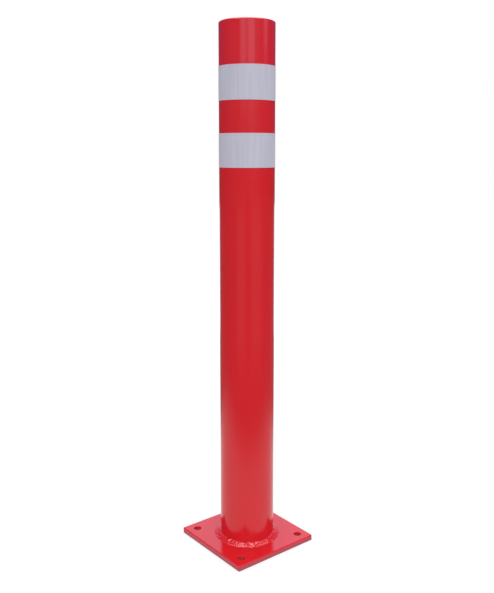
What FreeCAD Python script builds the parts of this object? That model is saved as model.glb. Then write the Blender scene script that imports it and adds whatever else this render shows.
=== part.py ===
import FreeCAD
import Part

import math
import os

from FreeCAD import Vector

# Fixed street bollard: a capped steel tube, fillet-welded to a square base plate
# that four anchors hold to the ground, with two wraps of reflective film near its top.
# The origin is the centre of the plate's underside, +Z points up the post,
# and the plate's sides lie along X and Y. Sizes are in millimetres, angles in degrees.

# Driving dimensions
overall_height = 850.0
post_diameter = 88.9
post_wall = 3.2

plate_side = 157.0
plate_thickness = 9.0
plate_corner_radius = 2.5
plate_top_edge_radius = 1.5
plate_bottom_edge_break = 0.5

anchor_hole_diameter = 12.0
anchor_hole_edge_distance = 18.0
anchor_hole_edge_break = 0.5

weld_leg_up = 5.0
weld_leg_out = 7.5
weld_crown = 0.8
weld_face_facets = 4
weld_toe_overrun = 1.3
weld_ripple_pitch = 3.6
weld_ripple_length = 4.5
weld_ripple_lean = 7.0
weld_start_bearing = 219.0
weld_lap_length = 14.0
weld_lap_rise = 0.5
weld_crater_radius = 1.6
weld_crater_depth = 0.8

cap_thickness = 5.0
cap_edge_radius = 2.5
cap_rim_land = 0.3
cap_weld_root_face = 1.2

film_width = 53.0
film_thickness = 0.4
film_gap = 50.0
film_drop_from_top = 68.0
film_lap_length = 20.0
film_lap_ramp_length = 4.0
film_lap_bearing = 51.5

# Sizes that follow from them
post_radius = post_diameter / 2
post_bore_radius = post_radius - post_wall
post_bottom = plate_thickness
post_top = overall_height - cap_thickness
cap_weld_depth = post_wall - cap_weld_root_face
anchor_hole_offset = plate_side / 2 - anchor_hole_edge_distance
upper_film_bottom = overall_height - film_drop_from_top - film_width
lower_film_bottom = upper_film_bottom - film_gap - film_width

# The weld's face is an arc from toe to toe, drawn a little past both and trimmed there.
weld_half_chord = math.hypot(weld_leg_up, weld_leg_out) / 2
weld_face_radius = (weld_half_chord**2 + weld_crown**2) / (2 * weld_crown)
weld_face_spread = weld_toe_overrun * math.asin(weld_half_chord / weld_face_radius)
weld_ripple_count = round(2 * math.pi * (post_radius + weld_leg_out / 2) / weld_ripple_pitch)
weld_ripple_step = 360 / weld_ripple_count
weld_lap_ripple_count = round(weld_lap_length / weld_ripple_pitch)

up = Vector(0, 0, 1)
axis_point = Vector(0, 0, 0)


def in_section(radius, height):
    """A point of a half section, in the XZ plane."""
    return Vector(radius, 0, height)


def in_plan(radius, angle, height):
    """A point of a plan outline, by its radius and its bearing from +X."""
    turn = math.radians(angle)
    return Vector(radius * math.cos(turn), radius * math.sin(turn), height)


def turned(edges):
    """The solid that a closed half section sweeps round the post's axis."""
    section = Part.Face(Part.Wire(edges))
    return section.revolve(axis_point, up, 360)


def straight_edges(points):
    """The closed outline through these points."""
    return Part.makePolygon(points + points[:1]).Edges


def edges_in_plane(shape, height):
    """The edges of a shape that lie flat at one height."""
    return [
        edge
        for edge in shape.Edges
        if abs(edge.BoundBox.ZMin - height) < 1e-6 and abs(edge.BoundBox.ZMax - height) < 1e-6
    ]


def base_plate():
    """The flame-cut plate, with its corners rounded, its edges eased and its four anchor holes."""
    half = plate_side / 2
    blank = Part.makeBox(plate_side, plate_side, plate_thickness, Vector(-half, -half, 0))
    corners = [edge for edge in blank.Edges if edge.BoundBox.ZLength > plate_thickness / 2]
    plate = blank.makeFillet(plate_corner_radius, corners)
    plate = plate.makeFillet(plate_top_edge_radius, edges_in_plane(plate, plate_thickness))
    plate = plate.makeChamfer(plate_bottom_edge_break, edges_in_plane(plate, 0))
    for side_x in (-1, 1):
        for side_y in (-1, 1):
            centre = Vector(side_x * anchor_hole_offset, side_y * anchor_hole_offset, 0)
            plate = plate.cut(anchor_hole(centre))
    return plate


def anchor_hole(centre):
    """What is taken out for one anchor: a drilled hole with both of its rims broken."""
    radius = anchor_hole_diameter / 2
    rim = radius + anchor_hole_edge_break
    drilled = Part.makeCylinder(radius, plate_thickness, centre)
    lower_break = Part.makeCone(rim, radius, anchor_hole_edge_break, centre)
    top = centre + up * plate_thickness
    upper_break = Part.makeCone(rim, radius, anchor_hole_edge_break, top, -up)
    return drilled.fuse([lower_break, upper_break])


def post_tube():
    """The steel tube, square at its foot and bevelled at its head for the cap's weld."""
    return turned(
        straight_edges(
            [
                in_section(post_bore_radius, post_bottom),
                in_section(post_radius, post_bottom),
                in_section(post_radius, post_top - cap_weld_depth),
                in_section(post_radius - cap_weld_depth, post_top),
                in_section(post_bore_radius, post_top),
            ]
        )
    )


def weld_directions(bearing):
    """The middle between the weld's toes at one bearing, the way its face looks, and the way it runs."""
    outward = in_plan(1, bearing, 0)
    middle = outward * (post_radius + weld_leg_out / 2) + up * (post_bottom + weld_leg_up / 2)
    facing = (outward * weld_leg_up + up * weld_leg_out).normalize()
    along = up.cross(outward)
    return middle, facing, along


def weld_ripple(bearing, rise):
    """One ripple of the weld: a slice with a curved face, leaning back over the slice before it."""
    middle, facing, along = weld_directions(bearing)
    lean = math.radians(weld_ripple_lean)
    travel = along * math.cos(lean) + facing * math.sin(lean)
    crest = facing * math.cos(lean) - along * math.sin(lean)
    across = crest.cross(travel)
    radius = weld_face_radius + rise
    hub = middle + facing * (weld_crown - weld_face_radius)
    hub -= travel * (weld_ripple_length / 2)
    corners = [hub]
    for corner in range(weld_face_facets + 1):
        angle = weld_face_spread * (2 * corner / weld_face_facets - 1)
        corners.append(hub + (crest * math.cos(angle) + across * math.sin(angle)) * radius)
    slice_face = Part.Face(Part.makePolygon(corners + corners[:1]))
    return slice_face.extrude(travel * weld_ripple_length)


def weld_crater():
    """The small hollow that the arc leaves where the weld's run ends."""
    end_bearing = weld_start_bearing + weld_lap_ripple_count * weld_ripple_step
    middle, facing, along = weld_directions(end_bearing)
    face = weld_crown + weld_lap_rise
    centre = middle + facing * (face - weld_crater_depth + weld_crater_radius)
    return Part.makeSphere(weld_crater_radius, centre)


def base_weld():
    """The fillet weld round the tube's foot: one rippled run, whose end laps over its start."""
    run = [
        weld_ripple(weld_start_bearing + index * weld_ripple_step, 0)
        for index in range(weld_ripple_count)
    ]
    lap = [
        weld_ripple(weld_start_bearing + (index + 0.5) * weld_ripple_step, weld_lap_rise)
        for index in range(weld_lap_ripple_count)
    ]
    bead = run[0].fuse(run[1:] + lap)
    reach = post_radius + weld_face_radius + weld_lap_rise
    tube_space = Part.makeCylinder(post_radius, post_bottom + reach)
    plate_space = Part.makeCylinder(reach, post_bottom + reach, Vector(0, 0, -reach))
    return bead.cut([tube_space, plate_space, weld_crater()])


def top_cap():
    """The disc that closes the tube, bevelled below for its weld and rounded along its rim."""
    rim_radius = min(cap_edge_radius, cap_thickness - cap_weld_depth - cap_rim_land)
    rim_centre = in_section(post_radius - rim_radius, overall_height - rim_radius)
    rim_low = rim_centre + Vector(rim_radius, 0, 0)
    rim_middle = rim_centre + Vector(1, 0, 1).normalize() * rim_radius
    rim_high = rim_centre + Vector(0, 0, rim_radius)
    edges = Part.makePolygon(
        [
            rim_high,
            in_section(0, overall_height),
            in_section(0, post_top),
            in_section(post_radius - cap_weld_depth, post_top),
            in_section(post_radius, post_top + cap_weld_depth),
            rim_low,
        ]
    ).Edges
    edges.append(Part.Arc(rim_low, rim_middle, rim_high).toShape())
    return turned(edges)


def cap_weld():
    """The weld that fills the groove between tube and cap, ground flush with the tube."""
    return turned(
        straight_edges(
            [
                in_section(post_radius, post_top - cap_weld_depth),
                in_section(post_radius, post_top + cap_weld_depth),
                in_section(post_radius - cap_weld_depth, post_top),
            ]
        )
    )


def film_wrap(bottom):
    """One strip of film round the tube. Its end laps over its start and steps down at the cut."""
    single = post_radius + film_thickness
    double = single + film_thickness
    lap_angle = math.degrees(film_lap_length / single)
    ramp_angle = math.degrees(film_lap_ramp_length / single)
    cut = film_lap_bearing - lap_angle / 2
    lap_end = cut + lap_angle
    ramp_end = lap_end + ramp_angle
    far_side = (ramp_end + cut + 360) / 2

    outline = Part.Wire(
        [
            Part.LineSegment(in_plan(single, cut, bottom), in_plan(double, cut, bottom)).toShape(),
            Part.Arc(
                in_plan(double, cut, bottom),
                in_plan(double, film_lap_bearing, bottom),
                in_plan(double, lap_end, bottom),
            ).toShape(),
            Part.LineSegment(
                in_plan(double, lap_end, bottom), in_plan(single, ramp_end, bottom)
            ).toShape(),
            Part.Arc(
                in_plan(single, ramp_end, bottom),
                in_plan(single, far_side, bottom),
                in_plan(single, cut, bottom),
            ).toShape(),
        ]
    )
    strip = Part.Face(outline).extrude(up * film_width)
    inside = Part.makeCylinder(post_radius, film_width, Vector(0, 0, bottom))
    return strip.cut(inside)


pieces = {
    "base_plate": base_plate(),
    "post_tube": post_tube(),
    "base_weld": base_weld(),
    "top_cap": top_cap(),
    "cap_weld": cap_weld(),
    "upper_reflective_band": film_wrap(upper_film_bottom),
    "lower_reflective_band": film_wrap(lower_film_bottom),
}

os.makedirs("parts", exist_ok=True)
for name, shape in pieces.items():
    shape.exportStep(f"parts/{name}.step")
    print(name, "valid:", shape.isValid(), "solids:", len(shape.Solids), "volume:", round(shape.Volume, 1))
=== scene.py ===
import math

import bpy
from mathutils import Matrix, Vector


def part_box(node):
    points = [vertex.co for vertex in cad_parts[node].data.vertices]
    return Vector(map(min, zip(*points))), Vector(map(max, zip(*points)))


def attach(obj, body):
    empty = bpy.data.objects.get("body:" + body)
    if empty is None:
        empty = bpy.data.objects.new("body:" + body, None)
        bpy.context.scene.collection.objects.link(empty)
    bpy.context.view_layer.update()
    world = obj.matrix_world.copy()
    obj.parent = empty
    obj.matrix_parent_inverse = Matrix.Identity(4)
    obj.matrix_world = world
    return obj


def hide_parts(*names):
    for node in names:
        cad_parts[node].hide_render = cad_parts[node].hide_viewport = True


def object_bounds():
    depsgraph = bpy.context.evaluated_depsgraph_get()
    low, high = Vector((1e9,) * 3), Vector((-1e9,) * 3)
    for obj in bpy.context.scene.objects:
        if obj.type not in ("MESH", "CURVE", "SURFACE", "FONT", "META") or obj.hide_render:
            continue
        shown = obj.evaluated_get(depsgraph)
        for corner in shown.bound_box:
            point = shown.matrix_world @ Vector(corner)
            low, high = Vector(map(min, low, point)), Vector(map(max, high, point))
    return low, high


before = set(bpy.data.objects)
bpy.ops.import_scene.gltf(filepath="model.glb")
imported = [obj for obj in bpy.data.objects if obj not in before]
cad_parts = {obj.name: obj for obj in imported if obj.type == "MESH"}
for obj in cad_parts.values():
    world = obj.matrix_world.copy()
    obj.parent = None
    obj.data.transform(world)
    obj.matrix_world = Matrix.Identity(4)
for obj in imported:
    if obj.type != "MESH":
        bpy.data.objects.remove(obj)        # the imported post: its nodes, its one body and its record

cadLow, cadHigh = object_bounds()  # the CAD box, before anything is added
mm = 0.001                     # the scene is in metres, values named Mm are in millimetres
print("frame loaded, box in mm:", [round(v / mm, 1) for v in (*cadLow, *cadHigh)])


# Small helpers

def hexToLinear(hexColour):
    channels = [int(hexColour[i:i + 2], 16) / 255 for i in (1, 3, 5)]
    linear = [c / 12.92 if c <= 0.04045 else ((c + 0.055) / 1.055) ** 2.4 for c in channels]
    return (*linear, 1.0)


def addNode(tree, kind, settings=None, links=None):
    node = tree.nodes.new(kind)
    for key, value in (settings or {}).items():
        if isinstance(key, int) or key in node.inputs:
            node.inputs[key].default_value = value
        else:
            setattr(node, key, value)
    for key, socket in (links or {}).items():
        tree.links.new(socket, node.inputs[key])
    return node


def newMaterial(name):
    material = bpy.data.materials.new(name)
    material.use_nodes = True
    material.node_tree.nodes.clear()
    return material


def perMetre(sizeMm):
    return 1 / (sizeMm * mm)   # a texture's scale for a feature of that size


def byBearing(bearingDeg, radius, height):
    turn = math.radians(bearingDeg)
    return Vector((radius * math.cos(turn), radius * math.sin(turn), height))


def deselectAll():
    if bpy.context.mode != "OBJECT":
        bpy.ops.object.mode_set(mode="OBJECT")
    bpy.ops.object.select_all(action="DESELECT")


def wearMaterial(thing, material):
    thing.data.materials.clear()
    thing.data.materials.append(material)


def selectWhere(piece, test):
    # leaves the piece in edit mode with only the points that pass the test selected
    bpy.ops.object.mode_set(mode="EDIT")
    bpy.ops.mesh.select_mode(type="VERT")
    bpy.ops.mesh.select_all(action="DESELECT")
    bpy.ops.object.mode_set(mode="OBJECT")
    for point in piece.data.vertices:
        point.select = test(point.co)
    bpy.ops.object.mode_set(mode="EDIT")


# Red powder coat: polyester powder, sprayed and baked. It gives a deep even red under a clear
# gloss, with the faint orange peel of the melted powder and a slightly uneven film.
# Down the plate's cut sides, near the ground, the red is painted darker and greyer: painted shade.

redCoat = dict(
    colour="#CB1C24",
    deepColour="#C2181F",
    sideShadeColour="#984452",
    shadeUpToMm=9.0,            # height above the ground where the painted shade ends
    shadeInMm=2.0,              # how far in from the plate's outline it is found
    cloudMm=160,               # slow drift of the film's thickness
    cloudDetail=3.0,
    peelMm=3.2,                # one swell of the orange peel
    peelDetail=1.5,
    peelRoughness=0.4,
    peelHeightMm=0.010,
    hazeMm=45,                 # patches a touch less shiny
    hazeDetail=4.0,
    hazeFrom=0.3,              # the noise's range that goes from the low to the high roughness
    hazeTo=0.7,
    roughLow=0.15,
    roughHigh=0.20,
    ior=1.5,
)


def redPowderCoat():
    material = newMaterial("redPowderCoat")
    tree = material.node_tree
    place = addNode(tree, "ShaderNodeTexCoord").outputs["Object"]
    cloud = addNode(tree, "ShaderNodeTexNoise",
                    {"Scale": perMetre(redCoat["cloudMm"]), "Detail": redCoat["cloudDetail"]},
                    {"Vector": place})
    tint = addNode(tree, "ShaderNodeMix",
                   {"data_type": "RGBA", 6: hexToLinear(redCoat["deepColour"]),
                    7: hexToLinear(redCoat["colour"])}, {0: cloud.outputs["Fac"]})
    unsigned = addNode(tree, "ShaderNodeVectorMath", {"operation": "ABSOLUTE"}, {0: place})
    away = addNode(tree, "ShaderNodeSeparateXYZ", links={"Vector": unsigned.outputs["Vector"]})
    outmost = addNode(tree, "ShaderNodeMath", {"operation": "MAXIMUM"},
                      {0: away.outputs["X"], 1: away.outputs["Y"]})
    plateEdge = cadHigh[0]     # the plate is the widest piece
    cutSide = addNode(tree, "ShaderNodeMath",
                      {"operation": "GREATER_THAN", 1: plateEdge - redCoat["shadeInMm"] * mm},
                      {0: outmost.outputs["Value"]})
    low = addNode(tree, "ShaderNodeMapRange",
                  {"From Max": redCoat["shadeUpToMm"] * mm, "To Min": 1.0, "To Max": 0.0},
                  {"Value": away.outputs["Z"]})
    # painted shade: a darker, greyer red low on the plate's cut sides
    paintedSideShade = addNode(tree, "ShaderNodeMath", {"operation": "MULTIPLY"},
                   {0: cutSide.outputs["Value"], 1: low.outputs["Result"]})
    coat = addNode(tree, "ShaderNodeMix",
                   {"data_type": "RGBA", 7: hexToLinear(redCoat["sideShadeColour"])},
                   {0: paintedSideShade.outputs["Value"], 6: tint.outputs[2]})
    haze = addNode(tree, "ShaderNodeTexNoise",
                   {"Scale": perMetre(redCoat["hazeMm"]), "Detail": redCoat["hazeDetail"]},
                   {"Vector": place})
    shine = addNode(tree, "ShaderNodeMapRange",
                    {"From Min": redCoat["hazeFrom"], "From Max": redCoat["hazeTo"],
                     "To Min": redCoat["roughLow"], "To Max": redCoat["roughHigh"]},
                    {"Value": haze.outputs["Fac"]})
    peel = addNode(tree, "ShaderNodeTexNoise",
                   {"Scale": perMetre(redCoat["peelMm"]), "Detail": redCoat["peelDetail"],
                    "Roughness": redCoat["peelRoughness"]}, {"Vector": place})
    swell = addNode(tree, "ShaderNodeBump",
                    {"Strength": 1.0, "Distance": redCoat["peelHeightMm"] * mm},
                    {"Height": peel.outputs["Fac"]})
    surface = addNode(tree, "ShaderNodeBsdfPrincipled", {"IOR": redCoat["ior"]},
                      {"Base Color": coat.outputs[2], "Roughness": shine.outputs["Result"],
                       "Normal": swell.outputs["Normal"]})
    addNode(tree, "ShaderNodeOutputMaterial", links={"Surface": surface.outputs["BSDF"]})
    return material


# Reflective film: tiny glass beads on a metallised back, under a smooth acrylic face.
# By daylight it is an even silver-grey, cool in tone, with a fine grain and faint streaks.

silverFilm = dict(
    colour="#A09DAA",
    paleColour="#C4C1CE",
    grainMm=0.9,               # the beads are finer, drawn this coarse so that they show
    grainDetail=2.0,
    grainHeightMm=0.004,
    streakMm=5.0,              # faint upright streaks from the coating of the film
    streakDetail=2.0,
    streakStretch=0.06,
    streakShare=0.6,           # how much of the tint is streaks, the rest is grain
    sheen=0.36,                # the beads send light back from the sides too
    sheenRoughness=0.6,
    roughness=0.32,
)


def reflectiveFilm():
    material = newMaterial("glassBeadReflectiveFilm")
    tree = material.node_tree
    place = addNode(tree, "ShaderNodeTexCoord").outputs["Object"]
    grain = addNode(tree, "ShaderNodeTexNoise",
                    {"Scale": perMetre(silverFilm["grainMm"]), "Detail": silverFilm["grainDetail"]},
                    {"Vector": place})
    upright = addNode(tree, "ShaderNodeMapping",
                      {"Scale": (1.0, 1.0, silverFilm["streakStretch"])}, {"Vector": place})
    streak = addNode(tree, "ShaderNodeTexNoise",
                     {"Scale": perMetre(silverFilm["streakMm"]), "Detail": silverFilm["streakDetail"]},
                     {"Vector": upright.outputs["Vector"]})
    both = addNode(tree, "ShaderNodeMix", {"data_type": "FLOAT", 0: silverFilm["streakShare"]},
                   {2: grain.outputs["Fac"], 3: streak.outputs["Fac"]})
    tint = addNode(tree, "ShaderNodeMix",
                   {"data_type": "RGBA", 6: hexToLinear(silverFilm["colour"]),
                    7: hexToLinear(silverFilm["paleColour"])}, {0: both.outputs[0]})
    relief = addNode(tree, "ShaderNodeBump",
                     {"Strength": 1.0, "Distance": silverFilm["grainHeightMm"] * mm},
                     {"Height": grain.outputs["Fac"]})
    surface = addNode(tree, "ShaderNodeBsdfPrincipled",
                      {"Roughness": silverFilm["roughness"], "Sheen Weight": silverFilm["sheen"],
                       "Sheen Roughness": silverFilm["sheenRoughness"]},
                      {"Base Color": tint.outputs[2], "Normal": relief.outputs["Normal"]})
    addNode(tree, "ShaderNodeOutputMaterial", links={"Surface": surface.outputs["BSDF"]})
    return material


paint = redPowderCoat()
film = reflectiveFilm()
for name in ("base_plate", "post_tube", "base_weld", "top_cap", "cap_weld"):
    wearMaterial(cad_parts[name], paint)
for name in ("upper_reflective_band", "lower_reflective_band"):
    wearMaterial(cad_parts[name], film)
print("materials on the CAD nodes")


# Weld bead round the post's foot: one run laid by hand, rippled and lumpy under the paint.
# One ripple is modelled and spun round the post, then worked over and trimmed to tube and plate.

weldBead = dict(
    legUpMm=5.0,               # reach up the tube
    legOutMm=7.5,              # and out over the plate
    crownMm=0.8,               # bulge past a flat face
    circlePoints=160,          # round the whole circle that the face is cut from
    buryMm=1.5,                # kept inside tube and plate until the trim
    toeDrawMm=2.0,             # the outer toe is drawn out thin by this much
    toeReachMm=4.5,
    ripples=84,
    rippleSteps=8,
    rippleRiseMm=0.24,
    rippleLean=1.6,            # over 1 puts a ripple's crest nearer to its back edge
    ringShare=0.02,            # finds a ring's points this near, as a share of a ripple
    lagDeg=1.6,                # how far a ripple's middle trails behind its ends
    lagBands=(20, 15, 10, 5),  # degrees either side of the face's middle
    lumps=dict(sizeMm=8.0, heightMm=1.1),
    grain=dict(sizeMm=2.4, heightMm=0.25),
    trimMm=0.10,               # cut this far inside tube and plate, so that no gap shows
    pickMm=0.01,               # finds a single point this near
    mergeMm=0.02,              # points nearer than this become one
    lastMergeMm=0.001,         # the same after the last cut
    cutterPoints=256,
    cutterTall=8,              # the tube cutter's height, in radii of the face
    smoothAngle=50,
)

# Places worked by hand: the run's end laps over its start near the front and leaves a small crater,
# and lumps and hollows follow along the run. bearing and lean are in degrees. lean is the angle
# across the face, towards the tube where it is positive.
weldTouches = [
    dict(bearing=221, lean=0, riseMm=0.5, reachMm=7.0),
    dict(bearing=231, lean=-8, riseMm=0.7, reachMm=6.5),
    dict(bearing=228, lean=22, riseMm=-0.9, reachMm=4.0),
    dict(bearing=233.6, lean=-5, riseMm=-1.8, reachMm=3.2),
    dict(bearing=243, lean=2, riseMm=0.6, reachMm=5.0),
    dict(bearing=190, lean=6, riseMm=0.6, reachMm=4.0),
    dict(bearing=196, lean=8, riseMm=-0.8, reachMm=3.6),
    dict(bearing=274, lean=6, riseMm=0.5, reachMm=4.5),
    dict(bearing=158, lean=-15, riseMm=-1.6, reachMm=4.2),
    dict(bearing=165, lean=-8, riseMm=-0.9, reachMm=3.6),
    dict(bearing=305, lean=-12, riseMm=-1.6, reachMm=4.2),
    dict(bearing=88, lean=5, riseMm=0.5, reachMm=6.0),
    dict(bearing=20, lean=-6, riseMm=-0.6, reachMm=5.0),
    dict(bearing=322, lean=4, riseMm=0.5, reachMm=5.5),
]


def addWeldBead():
    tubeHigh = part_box("post_tube")[1]
    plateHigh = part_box("base_plate")[1]
    tubeRadius = tubeHigh[0]
    plateTop = plateHigh[2]
    legUp = weldBead["legUpMm"] * mm
    legOut = weldBead["legOutMm"] * mm
    crown = weldBead["crownMm"] * mm
    halfChord = math.hypot(legUp, legOut) / 2
    throat = legUp * legOut / (2 * halfChord)
    faceRadius = (halfChord ** 2 + crown ** 2) / (2 * crown)
    faceTilt = math.atan2(legOut, legUp)    # how far the face looks up
    hubRadius = tubeRadius + legOut / 2 - (faceRadius - crown) * math.cos(faceTilt)
    hubHeight = plateTop + legUp / 2 - (faceRadius - crown) * math.sin(faceTilt)
    bury = weldBead["buryMm"] * mm
    trim = weldBead["trimMm"] * mm
    merge = weldBead["mergeMm"] * mm

    def acrossFace(spot):      # degrees from the face's middle
        out = math.hypot(spot.x, spot.y) - hubRadius
        return math.degrees(math.atan2(spot.z - hubHeight, out) - faceTilt)

    # a round face, cut down to the fillet's section
    deselectAll()
    bpy.ops.mesh.primitive_circle_add(vertices=weldBead["circlePoints"], radius=faceRadius,
                                      fill_type="NGON", location=(hubRadius, 0, hubHeight),
                                      rotation=(math.pi / 2, 0, 0))
    bead = bpy.context.object
    bead.name = "weldBead"
    bpy.ops.object.transform_apply()
    bpy.ops.object.mode_set(mode="EDIT")
    bpy.ops.mesh.select_all(action="SELECT")
    bpy.ops.mesh.bisect(plane_co=(tubeRadius - bury, 0, 0), plane_no=(1, 0, 0), clear_inner=True)
    bpy.ops.mesh.select_all(action="SELECT")
    bpy.ops.mesh.bisect(plane_co=(0, 0, plateTop - bury), plane_no=(0, 0, 1), clear_inner=True)
    bpy.ops.mesh.select_all(action="SELECT")
    bpy.ops.mesh.delete(type="ONLY_FACE")
    selectWhere(bead, lambda spot: spot.z < plateTop)
    bpy.ops.transform.translate(value=(weldBead["toeDrawMm"] * mm, 0, 0), use_proportional_edit=True,
                                proportional_edit_falloff="SMOOTH",
                                proportional_size=weldBead["toeReachMm"] * mm)

    # one ripple: a short spin, each of its rings swollen about the root
    step = math.tau / weldBead["ripples"]
    ringNear = step * weldBead["ringShare"]
    bpy.ops.mesh.select_all(action="SELECT")
    bpy.ops.mesh.spin(steps=weldBead["rippleSteps"], angle=step, center=(0, 0, 0), axis=(0, 0, 1))
    for ring in range(1, weldBead["rippleSteps"]):
        along = ring / weldBead["rippleSteps"]
        turn = -along * step   # spin goes round clockwise
        swell = math.sin(math.pi * along ** weldBead["rippleLean"])
        size = 1 + swell * weldBead["rippleRiseMm"] * mm / (throat + crown)
        root = (tubeRadius * math.cos(turn), tubeRadius * math.sin(turn), plateTop)
        selectWhere(bead, lambda spot: abs(math.atan2(spot.y, spot.x) - turn) < ringNear)
        bpy.ops.transform.resize(value=(size, size, size), center_override=root)
    for band in weldBead["lagBands"]:
        selectWhere(bead, lambda spot: abs(acrossFace(spot)) < band)
        bpy.ops.transform.rotate(value=math.radians(weldBead["lagDeg"] / len(weldBead["lagBands"])),
                                 orient_axis="Z", center_override=(0, 0, 0))

    # the other ripples
    bpy.ops.mesh.select_all(action="SELECT")
    bpy.ops.mesh.spin(steps=weldBead["ripples"] - 1, angle=math.tau - step, dupli=True,
                      center=(0, 0, 0), axis=(0, 0, 1))
    bpy.ops.mesh.select_all(action="SELECT")
    bpy.ops.mesh.remove_doubles(threshold=merge)
    bpy.ops.mesh.normals_make_consistent(inside=False)
    bpy.ops.object.mode_set(mode="OBJECT")

    # lumps and grain
    for name in ("lumps", "grain"):
        cloud = bpy.data.textures.new(name, "CLOUDS")
        cloud.noise_scale = weldBead[name]["sizeMm"] * mm
        uneven = bead.modifiers.new(name, "DISPLACE")
        uneven.texture = cloud
        uneven.strength = weldBead[name]["heightMm"] * mm
        bpy.ops.object.modifier_apply(modifier=name)

    # lap, crater and other places
    pick = weldBead["pickMm"] * mm
    for touch in weldTouches:
        lean = faceTilt + math.radians(touch["lean"])
        outward = byBearing(touch["bearing"], math.cos(lean), math.sin(lean))
        hub = byBearing(touch["bearing"], hubRadius, hubHeight)
        spot = hub + outward * faceRadius
        nearest = min(bead.data.vertices, key=lambda point: (point.co - spot).length).co.copy()
        selectWhere(bead, lambda place: (place - nearest).length < pick)
        bpy.ops.transform.translate(value=outward * touch["riseMm"] * mm, use_proportional_edit=True,
                                    proportional_edit_falloff="SMOOTH",
                                    proportional_size=touch["reachMm"] * mm)

    # trim to the plate and to the tube
    bpy.ops.mesh.select_all(action="SELECT")
    bpy.ops.mesh.bisect(plane_co=(0, 0, plateTop - trim), plane_no=(0, 0, 1), clear_inner=True,
                        use_fill=True)
    bpy.ops.mesh.select_all(action="SELECT")
    bpy.ops.mesh.remove_doubles(threshold=merge)
    bpy.ops.mesh.quads_convert_to_tris()    # the boolean below cuts flat faces clean
    deselectAll()
    bpy.ops.mesh.primitive_cylinder_add(vertices=weldBead["cutterPoints"], radius=tubeRadius - trim,
                                        depth=weldBead["cutterTall"] * faceRadius,
                                        location=(0, 0, plateTop))
    cutter = bpy.context.object
    deselectAll()
    bpy.context.view_layer.objects.active = bead
    bead.select_set(True)
    cut = bead.modifiers.new("tubeCut", "BOOLEAN")
    cut.operation = "DIFFERENCE"
    cut.object = cutter
    bpy.ops.object.modifier_apply(modifier="tubeCut")
    bpy.data.objects.remove(cutter)
    bpy.ops.object.mode_set(mode="EDIT")
    bpy.ops.mesh.select_all(action="SELECT")
    bpy.ops.mesh.remove_doubles(threshold=weldBead["lastMergeMm"] * mm)
    bpy.ops.object.mode_set(mode="OBJECT")
    bpy.ops.object.shade_smooth_by_angle(angle=math.radians(weldBead["smoothAngle"]))
    wearMaterial(bead, paint)
    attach(bead, "root")
    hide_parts("base_weld")
    return bead


weld = addWeldBead()
print("weld bead laid, faces:", len(weld.data.polygons))


# Camera, fitted to the photograph's edges

cameraFit = dict(
    photoTallPx=593,           # height of the picture's frame
    bearing=231.42,            # where it stands, seen from the post
    distanceMm=1188.16,
    heightMm=651.07,
    tilt=7.925,                # downwards
    focalPx=740.8,
    axisRowPx=254.0,           # the row that the lens axis meets
    sensorMm=36.0,
)


def addCamera():
    spot = byBearing(cameraFit["bearing"], cameraFit["distanceMm"] * mm, cameraFit["heightMm"] * mm)
    tall = cameraFit["photoTallPx"]
    deselectAll()
    bpy.ops.object.camera_add(location=spot)
    camera = bpy.context.object
    camera.name = "photoCamera"
    camera.rotation_euler = (math.radians(90 - cameraFit["tilt"]), 0,
                             math.radians(cameraFit["bearing"] + 90))
    camera.data.sensor_width = cameraFit["sensorMm"]
    camera.data.lens = cameraFit["focalPx"] / tall * cameraFit["sensorMm"]
    camera.data.shift_y = (cameraFit["axisRowPx"] - (tall - 1) / 2) / tall
    bpy.context.scene.camera = camera


addCamera()
print("camera set")


# Floor: a pale sheet, white to the eye. Round the post it carries a painted pool of light, a paler
# colour and a glow that only the gloss sees, which the paint mirrors; it is wider to the sides than
# towards the camera.

floorSheet = dict(
    sizeM=12.0,
    colour="#A2A2A4",
    farColour="#6A6A6C",       # darker: painted fall-off of the light away from the patch
    patchBackM=0.03,           # how far the patch's middle lies behind the post
    patchLeftM=0.06,
    patchForthM=0.47,          # half of the patch's depth
    patchAcrossM=0.68,         # half of its width
    edgeFrom=0.6,              # its soft edge, as shares of those halves
    edgeTo=1.4,
    glow=0.58,                 # lifts the patch to white for the eye, the shadow stays
    farGlow=1.0,               # and the rest of the sheet
    glossGlow=0.46,            # painted glow: how much brighter the gloss sees the patch
)


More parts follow.
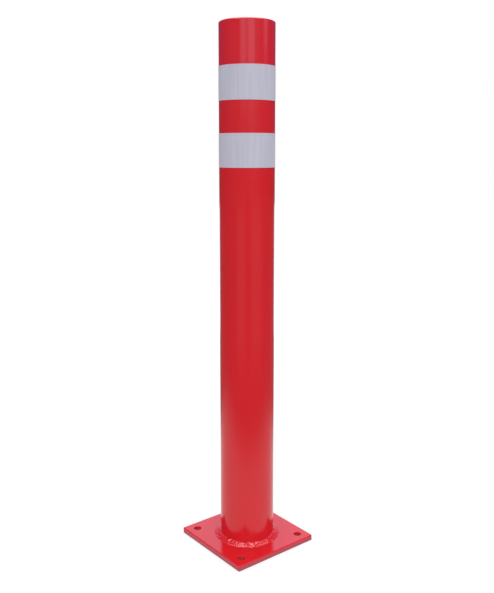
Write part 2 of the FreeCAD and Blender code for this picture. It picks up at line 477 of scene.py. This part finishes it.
def addFloor():
    deselectAll()
    bpy.ops.mesh.primitive_plane_add(size=floorSheet["sizeM"], location=(0, 0, 0))
    floor = bpy.context.object
    floor.name = "floor"
    material = newMaterial("paleStudioSheet")
    tree = material.node_tree
    place = addNode(tree, "ShaderNodeTexCoord").outputs["Object"]
    bearing = cameraFit["bearing"]
    middle = byBearing(bearing + 180, floorSheet["patchBackM"], 0)
    middle += byBearing(bearing - 90, floorSheet["patchLeftM"], 0)
    patch = addNode(tree, "ShaderNodeMapping",
                    {"vector_type": "TEXTURE", "Location": middle,
                     "Rotation": (0, 0, math.radians(bearing)),
                     "Scale": (floorSheet["patchForthM"], floorSheet["patchAcrossM"], 1.0)},
                    {"Vector": place})
    reach = addNode(tree, "ShaderNodeVectorMath", {"operation": "LENGTH"},
                    {0: patch.outputs["Vector"]})
    far = addNode(tree, "ShaderNodeMapRange",
                  {"interpolation_type": "SMOOTHSTEP", "From Min": floorSheet["edgeFrom"],
                   "From Max": floorSheet["edgeTo"]}, {"Value": reach.outputs["Value"]})
    # painted pool of light: the sheet is paler near the post and darker away from it
    tint = addNode(tree, "ShaderNodeMix",
                   {"data_type": "RGBA", 6: hexToLinear(floorSheet["colour"]),
                    7: hexToLinear(floorSheet["farColour"])}, {0: far.outputs["Result"]})
    sight = addNode(tree, "ShaderNodeLightPath")
    eyeGlow = addNode(tree, "ShaderNodeMapRange",
                      {"To Min": floorSheet["glow"], "To Max": floorSheet["farGlow"]},
                      {"Value": far.outputs["Result"]})
    toEye = addNode(tree, "ShaderNodeMath", {"operation": "MULTIPLY"},
                    {0: eyeGlow.outputs["Result"], 1: sight.outputs["Is Camera Ray"]})
    # painted light: the patch glows for the gloss alone
    glossGlow = addNode(tree, "ShaderNodeMapRange",
                        {"To Min": floorSheet["glossGlow"], "To Max": 0.0},
                        {"Value": far.outputs["Result"]})
    toGloss = addNode(tree, "ShaderNodeMath", {"operation": "MULTIPLY"},
                      {0: glossGlow.outputs["Result"], 1: sight.outputs["Is Glossy Ray"]})
    glow = addNode(tree, "ShaderNodeMath", {"operation": "ADD"},
                   {0: toEye.outputs["Value"], 1: toGloss.outputs["Value"]})
    surface = addNode(tree, "ShaderNodeBsdfPrincipled",
                      {"Roughness": 1.0, "Specular IOR Level": 0.0,
                       "Emission Color": (1.0, 1.0, 1.0, 1.0)},
                      {"Base Color": tint.outputs[2], "Emission Strength": glow.outputs["Value"]})
    addNode(tree, "ShaderNodeOutputMaterial", links={"Surface": surface.outputs["BSDF"]})
    wearMaterial(floor, material)


addFloor()
print("floor laid")


# Room: soft light from all round, strongest from above the camera. The gloss sees something else:
# dim near the ground and towards the camera, a little blue above that, and cool white
# high behind the post.

room = dict(
    ambientBright=1.44,        # what lights the surfaces, where it is strongest
    ambientAway=0.36,          # and on the opposite side
    brightLift=45,             # how high the strongest light stands, in degrees
    dim="#505050",             # what the gloss sees low down
    dimHigh="#4F5286",         # and further up
    highFrom=-0.05,            # sines of the heights
    highTo=0.16,
    white="#D5E7FF",           # what the gloss sees of the white part
    whiteLevel=1.5,
    whiteFrom=0.25,            # sines of the heights
    whiteTo=0.42,
    behindFrom=0.74,           # cosines from the line behind the post
    behindTo=0.84,
)


def addRoom():
    world = bpy.data.worlds.new("studioRoom")
    bpy.context.scene.world = world
    world.use_nodes = True
    tree = world.node_tree
    tree.nodes.clear()
    direction = addNode(tree, "ShaderNodeTexCoord").outputs["Generated"]
    behind = byBearing(cameraFit["bearing"] + 180, 1, 0)
    facing = addNode(tree, "ShaderNodeVectorMath", {"operation": "DOT_PRODUCT", 1: behind},
                     {0: direction})
    height = addNode(tree, "ShaderNodeSeparateXYZ", links={"Vector": direction}).outputs["Z"]
    backSide = addNode(tree, "ShaderNodeMapRange",
                       {"interpolation_type": "SMOOTHSTEP", "From Min": room["behindFrom"],
                        "From Max": room["behindTo"]}, {"Value": facing.outputs["Value"]})
    upSide = addNode(tree, "ShaderNodeMapRange",
                     {"interpolation_type": "SMOOTHSTEP", "From Min": room["whiteFrom"],
                      "From Max": room["whiteTo"]}, {"Value": height})
    share = addNode(tree, "ShaderNodeMath", {"operation": "MULTIPLY"},
                    {0: backSide.outputs["Result"], 1: upSide.outputs["Result"]})
    rise = addNode(tree, "ShaderNodeMapRange",
                   {"interpolation_type": "SMOOTHSTEP", "From Min": room["highFrom"],
                    "From Max": room["highTo"]}, {"Value": height})
    dim = addNode(tree, "ShaderNodeMix",
                  {"data_type": "RGBA", 6: hexToLinear(room["dim"]), 7: hexToLinear(room["dimHigh"])},
                  {0: rise.outputs["Result"]})
    white = [room["whiteLevel"] * channel for channel in hexToLinear(room["white"])]
    mirrored = addNode(tree, "ShaderNodeMix", {"data_type": "RGBA", 7: white},
                       {0: share.outputs["Value"], 6: dim.outputs[2]})
    sight = addNode(tree, "ShaderNodeLightPath")
    lift = math.radians(room["brightLift"])
    bright = byBearing(cameraFit["bearing"], math.cos(lift), math.sin(lift))
    towards = addNode(tree, "ShaderNodeVectorMath", {"operation": "DOT_PRODUCT", 1: bright},
                      {0: direction})
    ambient = addNode(tree, "ShaderNodeMapRange",
                      {"From Min": -1.0, "To Min": room["ambientAway"],
                       "To Max": room["ambientBright"]}, {"Value": towards.outputs["Value"]})
    lit = addNode(tree, "ShaderNodeMix", {"data_type": "RGBA"},
                  {0: sight.outputs["Is Glossy Ray"], 6: ambient.outputs["Result"],
                   7: mirrored.outputs[2]})
    seen = addNode(tree, "ShaderNodeMix", {"data_type": "RGBA", 7: (1.0, 1.0, 1.0, 1.0)},
                   {0: sight.outputs["Is Camera Ray"], 6: lit.outputs[2]})
    light = addNode(tree, "ShaderNodeBackground", {"Strength": 1.0}, {"Color": seen.outputs[2]})
    addNode(tree, "ShaderNodeOutputWorld", links={"Surface": light.outputs["Background"]})


# Lamps: bearing and height are seen from the post, level is the lamp's own brightness.
# The fills have no mirror image, they only lift the sides. The overhead strip lights nothing
# by itself, it only shows in the gloss.

lamps = dict(
    softbox=dict(bearing=51, distanceM=0.80, heightM=2.3, aimM=0.1, wideM=1.3, tallM=1.0,
                 level=3.3, colour="#FFFFFF"),
    overheadStrip=dict(bearing=236, distanceM=0.42, heightM=2.3, aimM=0.1, wideM=2.6, tallM=0.8,
                       level=6.5, colour="#FFFFFF", diffuse=False),
    leftPane=dict(bearing=217, distanceM=2.6, heightM=1.62, aimM=1.62, wideM=1.10, tallM=1.3,
                  level=1.15, colour="#D9E8FF"),
    rightPane=dict(bearing=248, distanceM=2.6, heightM=1.62, aimM=1.62, wideM=1.28, tallM=1.3,
                   level=1.25, colour="#D9E8FF"),
    sideWindow=dict(bearing=311, distanceM=2.6, heightM=1.80, aimM=1.80, wideM=0.9, tallM=1.3,
                    level=1.1, colour="#D9E8FF"),
    leftBoard=dict(bearing=207, distanceM=1.1, heightM=0.26, aimM=0.26, wideM=0.66, tallM=0.46,
                   level=0.22, colour="#FFFFFF"),
    rightBoard=dict(bearing=272, distanceM=1.1, heightM=0.26, aimM=0.26, wideM=0.95, tallM=0.46,
                    level=0.18, colour="#FFFFFF"),
    backBoard=dict(bearing=51, distanceM=1.3, heightM=0.24, aimM=0.24, wideM=1.5, tallM=0.46,
                   level=1.1, colour="#D5E7FF"),
    leftFill=dict(bearing=165, distanceM=1.8, heightM=0.7, aimM=0.45, wideM=1.4, tallM=1.4,
                  level=0.3, colour="#FFFFFF", gloss=False),
    rightFill=dict(bearing=263, distanceM=1.8, heightM=0.85, aimM=0.6, wideM=1.4, tallM=1.0,
                   level=1.2, colour="#FFFFFF", gloss=False),
)


def addLamp(name, lamp):
    spot = byBearing(lamp["bearing"], lamp["distanceM"], lamp["heightM"])
    aim = Vector((0, 0, lamp["aimM"])) - spot
    deselectAll()
    bpy.ops.object.light_add(type="AREA", location=spot)
    light = bpy.context.object
    light.name = name
    light.rotation_euler = aim.to_track_quat("-Z", "Y").to_euler()
    light.data.shape = "RECTANGLE"
    light.data.size = lamp["wideM"]
    light.data.size_y = lamp["tallM"]
    light.data.energy = math.pi * lamp["wideM"] * lamp["tallM"] * lamp["level"]
    light.data.color = hexToLinear(lamp["colour"])[:3]
    light.visible_camera = False
    light.visible_glossy = lamp.get("gloss", True)
    light.visible_diffuse = lamp.get("diffuse", True)


addRoom()
for lampName, lamp in lamps.items():
    addLamp(lampName, lamp)
bpy.context.scene.view_settings.view_transform = "Standard"
print("room and lamps set")
